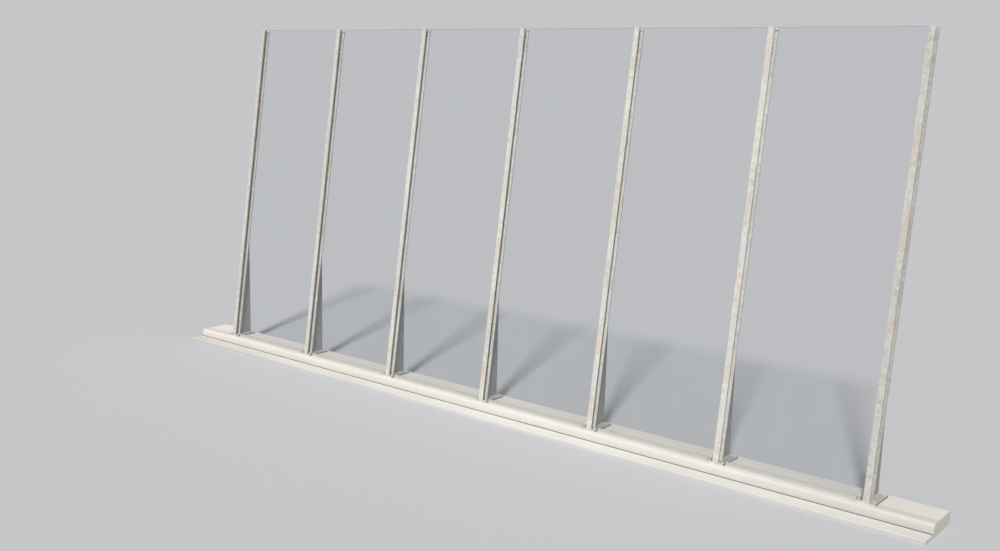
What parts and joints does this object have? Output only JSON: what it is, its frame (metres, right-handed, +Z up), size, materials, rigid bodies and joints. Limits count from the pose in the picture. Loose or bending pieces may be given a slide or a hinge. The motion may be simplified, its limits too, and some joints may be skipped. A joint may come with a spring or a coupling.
{
  "type": "highway noise barrier",
  "caption": "Tall transparent noise barrier: clear panes slotted between backward leaning H-section steel posts with haunches and base plates on a long concrete plinth.",
  "frame": {"origin": "on the underside of the concrete plinth, half way along the barrier, straight below the point where the middle post's axis meets its base plate", "axes": "+X along the barrier, to the right as seen from the road; +Y away from the road, the way the posts lean; +Z up"},
  "size_m": [16.4, 1.4813, 6.9031],
  "materials": {
    "concrete": "matt cast concrete",
    "strip_concrete": "matt cast concrete",
    "galvanised_steel": "dull zinc coat",
    "clear_pane": "clear",
    "seal_rubber": "matt",
    "packer_plastic": "matt",
    "grey_rubber": "matt"
  },
  "bodies": {
    "root": {"foundation_beam": "concrete", "toe_strip": "strip_concrete", "post_1": "galvanised_steel", "haunch_1": "galvanised_steel", "base_plate_1": "galvanised_steel", "post_2": "galvanised_steel", "haunch_2": "galvanised_steel", "base_plate_2": "galvanised_steel", "post_3": "galvanised_steel", "haunch_3": "galvanised_steel", "base_plate_3": "galvanised_steel", "post_4": "galvanised_steel", "haunch_4": "galvanised_steel", "base_plate_4": "galvanised_steel", "post_5": "galvanised_steel", "haunch_5": "galvanised_steel", "base_plate_5": "galvanised_steel", "post_6": "galvanised_steel", "haunch_6": "galvanised_steel", "base_plate_6": "galvanised_steel", "post_7": "galvanised_steel", "haunch_7": "galvanised_steel", "base_plate_7": "galvanised_steel", "pane_1": "clear_pane", "edge_seals_1": "seal_rubber", "glazing_packers_1": "packer_plastic", "pane_2": "clear_pane", "edge_seals_2": "seal_rubber", "glazing_packers_2": "packer_plastic", "pane_3": "clear_pane", "edge_seals_3": "seal_rubber", "glazing_packers_3": "packer_plastic", "pane_4": "clear_pane", "edge_seals_4": "seal_rubber", "glazing_packers_4": "packer_plastic", "pane_5": "clear_pane", "edge_seals_5": "seal_rubber", "glazing_packers_5": "packer_plastic", "pane_6": "clear_pane", "edge_seals_6": "seal_rubber", "glazing_packers_6": "packer_plastic", "foot_seals": "grey_rubber"}
  },
  "joints": []
}
